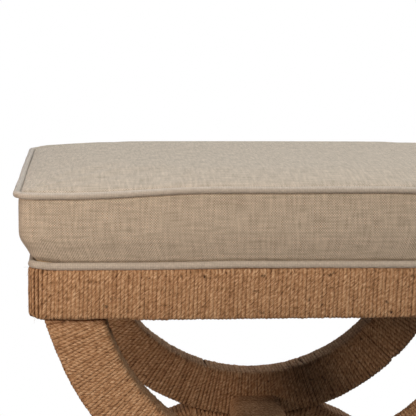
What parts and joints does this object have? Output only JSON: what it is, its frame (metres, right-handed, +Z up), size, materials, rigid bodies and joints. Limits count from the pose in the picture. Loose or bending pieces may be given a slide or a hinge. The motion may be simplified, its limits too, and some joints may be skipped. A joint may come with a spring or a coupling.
{
  "type": "rope-wrapped curule bench",
  "caption": "Upholstered bench with a boxed linen seat, welted edges and a rope-wrapped apron on two rope-wrapped curule frames joined by a stretcher.",
  "frame": {"origin": "on the floor, under the middle of the seat", "axes": "+Z up, +X along the width of the bench, -Y towards the front"},
  "size_m": [0.54, 0.4, 0.5157],
  "materials": {
    "rope": "matte",
    "linen": "matte",
    "linen_welt": "matte",
    "foam": "matte",
    "dust_cloth": "matte",
    "wood": "matte",
    "plywood": "matte",
    "dowel": "matte",
    "steel": "satin",
    "nylon": "satin"
  },
  "bodies": {
    "root": {"back_lower_arch": "wood", "back_lower_crown_wrap": "rope", "back_lower_left_wrap": "rope", "back_lower_right_wrap": "rope", "back_rail": "wood", "back_rail_wrap": "rope", "back_upper_arc": "wood", "back_upper_left_wrap": "rope", "back_upper_right_wrap": "rope", "back_upper_waist_wrap": "rope", "bottom_piping": "linen_welt", "corner_block_back_left": "wood", "corner_block_back_right": "wood", "corner_block_front_left": "wood", "corner_block_front_right": "wood", "corner_block_screws": "steel", "corner_wrap_back_left": "rope", "corner_wrap_back_right": "rope", "corner_wrap_front_left": "rope", "corner_wrap_front_right": "rope", "dust_cover": "dust_cloth", "foot_glide_back_left": "nylon", "foot_glide_back_right": "nylon", "foot_glide_front_left": "nylon", "foot_glide_front_right": "nylon", "front_lower_arch": "wood", "front_lower_crown_wrap": "rope", "front_lower_left_wrap": "rope", "front_lower_right_wrap": "rope", "front_rail": "wood", "front_rail_wrap": "rope", "front_upper_arc": "wood", "front_upper_left_wrap": "rope", "front_upper_right_wrap": "rope", "front_upper_waist_wrap": "rope", "left_rail": "wood", "left_rail_wrap": "rope", "leg_bolt_washers": "steel", "leg_bolts": "steel", "rail_dowels": "dowel", "right_rail": "wood", "right_rail_wrap": "rope", "seat_board": "plywood", "seat_cover_boxing": "linen", "seat_cover_top": "linen", "seat_foam": "foam", "seat_screws": "steel", "stretcher": "wood", "stretcher_dowels": "dowel", "stretcher_wrap": "rope", "top_piping": "linen_welt", "waist_dowels": "dowel"}
  },
  "joints": []
}
